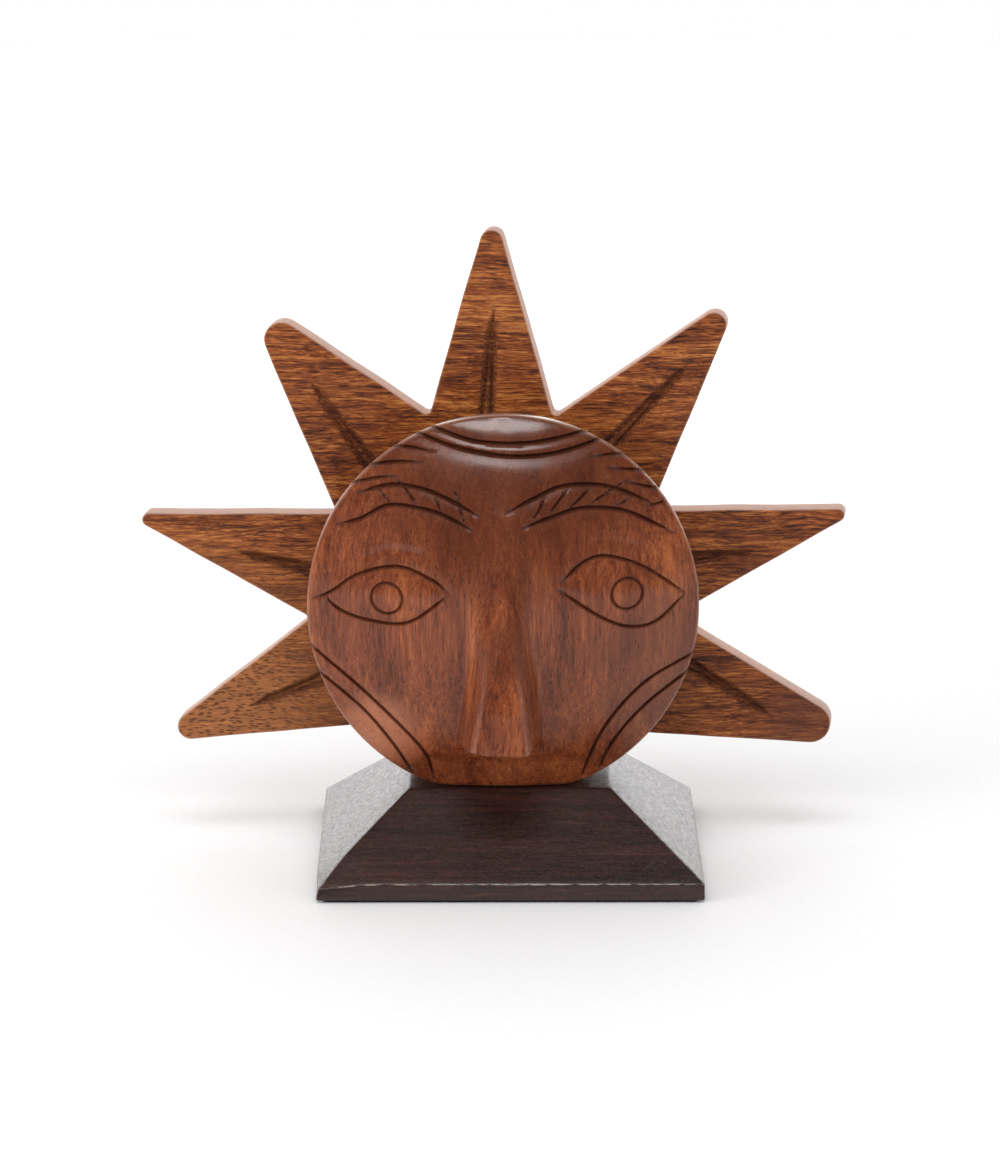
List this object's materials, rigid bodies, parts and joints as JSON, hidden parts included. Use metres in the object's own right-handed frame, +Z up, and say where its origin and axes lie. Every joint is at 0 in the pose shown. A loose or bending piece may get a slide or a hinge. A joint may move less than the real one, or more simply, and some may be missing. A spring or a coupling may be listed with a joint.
{
  "type": "eyeglasses display stand",
  "caption": "Carved wooden stand for one pair of glasses: a domed sun face whose nose carries the bridge, a ray panel behind it, and a low pyramid base.",
  "frame": {"origin": "centre of the resting face under the base, at floor level", "axes": "+Z up, +X to the right of a viewer who faces the carved face, +Y away from that viewer, so the nose points along -Y"},
  "size_m": [0.1259, 0.0666, 0.1129],
  "materials": {
    "dark_hardwood": "satin lacquer",
    "red_hardwood": "satin lacquer",
    "streaked_hardwood": "satin lacquer",
    "plain_wood": "oiled",
    "plug_wood": "satin lacquer",
    "dowel_wood": "raw",
    "felt": "matt",
    "zinc_steel": "zinc plated"
  },
  "bodies": {
    "root": {"base_block": "dark_hardwood", "base_felt": "felt", "spacer_block": "plain_wood", "face_disc": "red_hardwood", "sun_panel": "streaked_hardwood", "base_screws": "zinc_steel", "panel_screws": "zinc_steel", "screw_plugs": "plug_wood", "face_dowels": "dowel_wood"}
  },
  "joints": []
}
